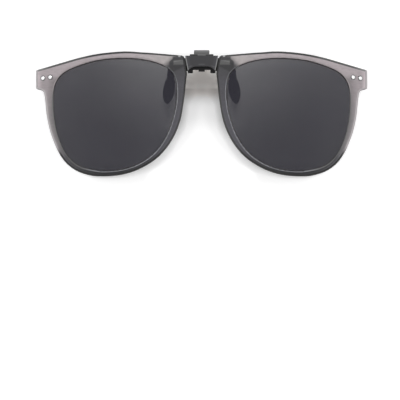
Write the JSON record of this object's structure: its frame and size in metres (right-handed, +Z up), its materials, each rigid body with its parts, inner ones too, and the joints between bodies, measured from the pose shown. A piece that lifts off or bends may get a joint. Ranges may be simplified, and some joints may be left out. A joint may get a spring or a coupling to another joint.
{
  "type": "flip-up clip-on sunglasses",
  "caption": "Clip-on sunglasses with two frosted rims on a bridge plate that flips up from a sprung clamp with padded arms.",
  "frame": {"origin": "middle of the saddle face, the flat underside of the clamp that rests on the bridge of the glasses that carry it", "axes": "+X towards the right of a front view, across both lenses; -Y to the front, +Y to the wearer; +Z up"},
  "size_m": [0.145, 0.0128, 0.0553],
  "materials": {
    "rim": "frosted",
    "lens": "dark grey tint",
    "bracket": "satin gunmetal",
    "clamp": "satin black",
    "cap": "satin grey",
    "pad": "matt",
    "stud": "polished",
    "steel": "bright"
  },
  "bodies": {
    "clamp": {"clamp_body": "clamp", "front_pad_left": "pad", "front_pad_right": "pad", "detent_leaf": "steel", "jaw_pin": "steel", "jaw_spring": "steel"},
    "flip_front": {"bridge_bracket": "bracket", "rim_left": "rim", "rim_right": "rim", "lens_left": "lens", "lens_right": "lens", "stud_left_outer": "stud", "stud_left_inner": "stud", "stud_right_outer": "stud", "stud_right_inner": "stud", "lug_screw_left": "steel", "lug_screw_right": "steel", "flip_axle": "steel"},
    "jaw": {"rear_jaw": "clamp", "rear_pad_left": "pad", "rear_pad_right": "pad", "lever_cap": "cap"}
  },
  "joints": [
    {"name": "flip", "type": "hinge", "parent": "clamp", "child": "flip_front", "pos_m": [0, -0.0049, 0.00445], "axis": [-1, 0, 0], "range_deg": [0, 100]},
    {"name": "jaw_open", "type": "hinge", "parent": "clamp", "child": "jaw", "pos_m": [0, 0.0005, 0.0036], "axis": [1, 0, 0], "range_deg": [0, 25], "stiffness_Nm_per_rad": 0.06, "springref_deg": -17.19}
  ]
}
